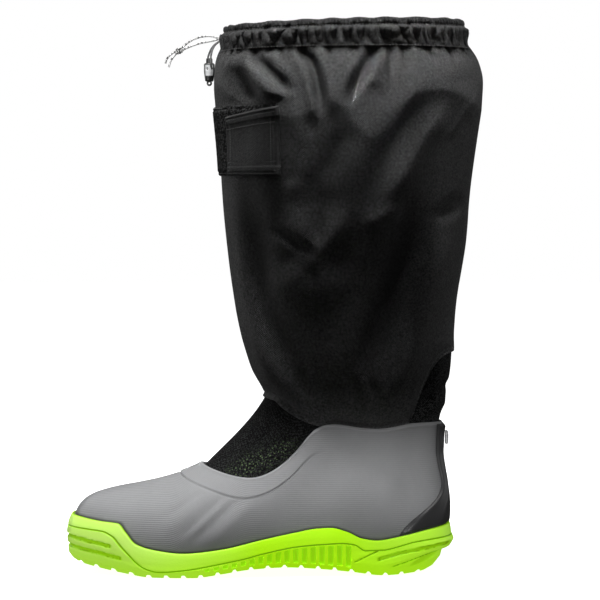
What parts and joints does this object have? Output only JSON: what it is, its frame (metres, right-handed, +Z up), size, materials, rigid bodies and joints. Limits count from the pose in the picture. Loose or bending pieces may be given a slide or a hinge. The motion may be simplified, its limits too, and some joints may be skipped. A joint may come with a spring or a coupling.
{
  "type": "sailing boot",
  "caption": "Tall sailing boot: woven gaiter shaft with draw-cord hem and hook-and-loop tab over a low shoe upper with a mesh instep, on a cupsole with a lugged tread.",
  "frame": {"origin": "on the floor, under the middle of the boot's box without its free cords", "axes": "toe towards -X, outer side towards -Y, +Z up along the shaft"},
  "size_m": [0.3233, 0.132, 0.4269],
  "materials": {
    "sole_rubber": "matte moulded rubber",
    "insole_foam": "cloth over foam",
    "upper_textile": "coated textile",
    "stay_rubber": "matte moulded rubber",
    "pale_tab": "pale reflective tape",
    "mesh_cloth": "stretch mesh",
    "shaft_cloth": "fine woven twill",
    "loop_fastener": "loop pile",
    "tab_webbing": "woven tape",
    "eyelet_metal": "dark lacquer",
    "cord": "braided cord",
    "lock_black": "moulded",
    "lock_grey": "moulded"
  },
  "bodies": {
    "boot": {"outsole": "sole_rubber", "insole": "insole_foam", "upper": "upper_textile", "heel_stay": "stay_rubber", "heel_tab": "pale_tab", "bootie": "mesh_cloth", "shaft": "shaft_cloth", "loop_patch": "loop_fastener", "closure_tab": "tab_webbing", "cord_eyelet": "eyelet_metal", "drawcord_upper_strand": "cord", "drawcord_lower_strand": "cord", "drawcord_knot": "cord", "drawcord_long_tail": "cord", "drawcord_short_tail": "cord", "lock_loop_near": "cord", "lock_loop_far": "cord", "cord_lock_barrel": "lock_black"},
    "lock_button": {"cord_lock_plunger": "lock_grey"}
  },
  "joints": [
    {"name": "lock_press", "type": "slide", "parent": "boot", "child": "lock_button", "axis": [0, 0, -1], "range_m": [0, 0.0025], "stiffness_N_per_m": 400, "springref_m": -0.004}
  ]
}
